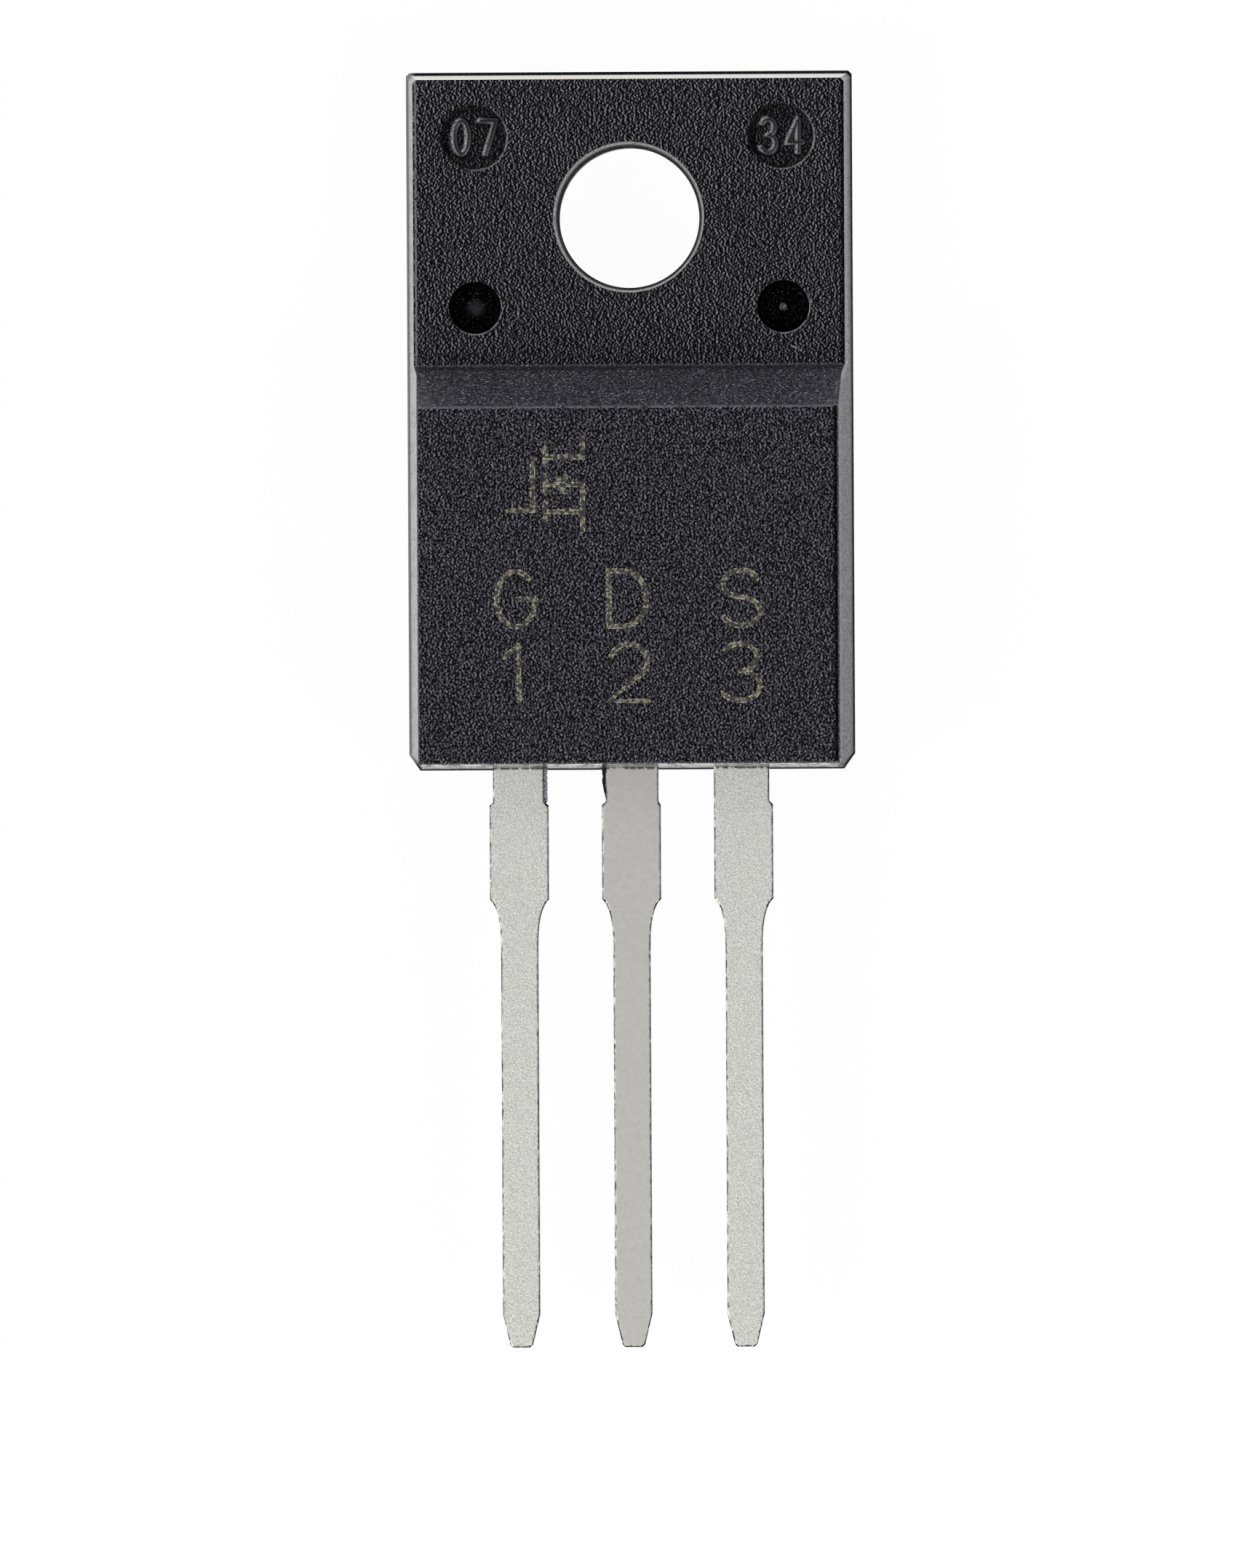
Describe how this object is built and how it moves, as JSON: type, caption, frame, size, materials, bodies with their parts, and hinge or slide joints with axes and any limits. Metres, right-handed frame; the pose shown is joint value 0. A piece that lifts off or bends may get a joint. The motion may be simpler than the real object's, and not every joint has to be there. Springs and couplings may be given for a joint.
{
  "type": "field-effect transistor",
  "caption": "Isolated power transistor: black moulded body with a drilled mounting tab, a sloped step and three flat tinned leads in a row, for through-hole soldering.",
  "frame": {"origin": "middle of the flat heat-sink face on the back of the moulded body", "axes": "+Y along the part towards the drilled tab, leads along -Y; +Z out of the marked front face; +X to the source lead side"},
  "size_m": [0.0102, 0.0289, 0.0047],
  "materials": {
    "epoxy_moulding": "spark-textured faces, satin drafted walls",
    "tinned_copper": "satin tin plating",
    "solder": "dull soft solder",
    "silicon": "polished, metallised on top",
    "aluminium_wire": "drawn wire, satin"
  },
  "bodies": {
    "root": {"moulded_body": "epoxy_moulding", "drain_frame": "tinned_copper", "gate_lead": "tinned_copper", "source_lead": "tinned_copper", "die_attach": "solder", "silicon_die": "silicon", "gate_bond_wire": "aluminium_wire", "source_bond_wire_1": "aluminium_wire", "source_bond_wire_2": "aluminium_wire"}
  },
  "joints": []
}
